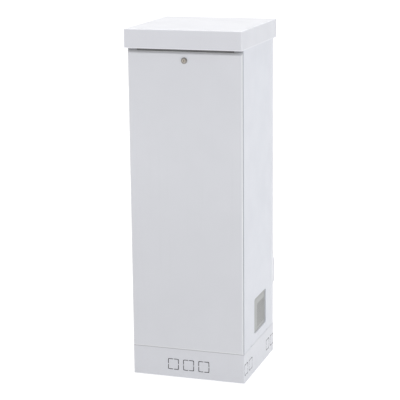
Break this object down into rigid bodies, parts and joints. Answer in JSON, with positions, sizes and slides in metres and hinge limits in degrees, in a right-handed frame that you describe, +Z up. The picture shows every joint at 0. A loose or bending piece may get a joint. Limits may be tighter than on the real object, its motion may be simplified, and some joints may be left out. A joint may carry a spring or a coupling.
{
  "type": "roadside utility cabinet",
  "caption": "Tall slim free-standing sheet-steel street cabinet: plinth with square cable knock-outs, overhanging box lid, side vent and a full-height lockable front cover.",
  "frame": {"origin": "on the ground under the centre of the plinth, which is the bottom centre of the box", "axes": "+X to the right seen from the front, the front cover faces -Y, +Z up"},
  "size_m": [0.404, 0.429, 1.2],
  "materials": {
    "paint_body": "semi-gloss powder coat, light grey-white",
    "paint_lid": "semi-gloss powder coat, light grey-white",
    "paint_cover": "semi-gloss powder coat, light grey-white",
    "paint_vent": "matt grey coat",
    "zinc": "zinc-plated",
    "galvanised": "hot-dip spangle",
    "lock_metal": "satin nickel over brass, worn",
    "copper": "dull copper",
    "brass": "plain brass",
    "rubber": "matt",
    "foam": "closed-cell foam",
    "filter": "fibre mat",
    "black_plastic": "fine grain",
    "orange_plastic": "moulded"
  },
  "bodies": {
    "cabinet": {"plinth": "paint_body", "base_tray": "galvanised", "base_bolts": "zinc", "base_washers": "zinc", "base_nuts": "zinc", "gland_plate": "galvanised", "gland_screws": "zinc", "cable_grommets": "rubber", "side_panel_left": "paint_body", "side_panel_right": "paint_body", "rear_panel": "paint_body", "top_tray": "paint_body", "lid": "paint_lid", "lid_channels": "galvanised", "lid_gaskets": "rubber", "lid_bolts": "zinc", "lid_nuts": "zinc", "cover_seal": "foam", "hook_brackets": "zinc", "hook_pins": "zinc", "hook_rivets": "zinc", "vent_plate": "paint_vent", "vent_filter": "filter", "vent_retainer": "galvanised", "vent_studs": "zinc", "vent_nuts": "zinc", "rear_hood": "paint_body", "hood_rivets": "zinc", "mounting_plate": "galvanised", "plate_studs": "zinc", "plate_spacers": "zinc", "plate_nuts": "zinc", "din_rail_upper": "zinc", "din_rail_lower": "zinc", "rail_screws": "zinc", "cable_rail": "galvanised", "cable_rail_spacers": "zinc", "cable_rail_studs": "zinc", "cable_rail_nuts": "zinc", "cable_clamps": "black_plastic", "clamp_bolts": "zinc", "earth_bar": "copper", "earth_spacers": "orange_plastic", "earth_screws": "brass"},
    "cover": {"front_cover": "paint_cover", "cover_stiffener": "galvanised", "cover_hooks": "zinc", "lock_body": "lock_metal", "lock_nut": "zinc"},
    "cam": {"lock_plug": "lock_metal", "lock_cam": "zinc", "cam_screw": "zinc"}
  },
  "joints": [
    {"name": "cover_tilt", "type": "hinge", "parent": "cabinet", "child": "cover", "pos_m": [0, -0.19075, 0.1105], "axis": [1, 0, 0], "range_deg": [0, 25]},
    {"name": "lock_turn", "type": "hinge", "parent": "cover", "child": "cam", "pos_m": [0, -0.189, 1.0975], "axis": [0, -1, 0], "range_deg": [0, 90]}
  ]
}
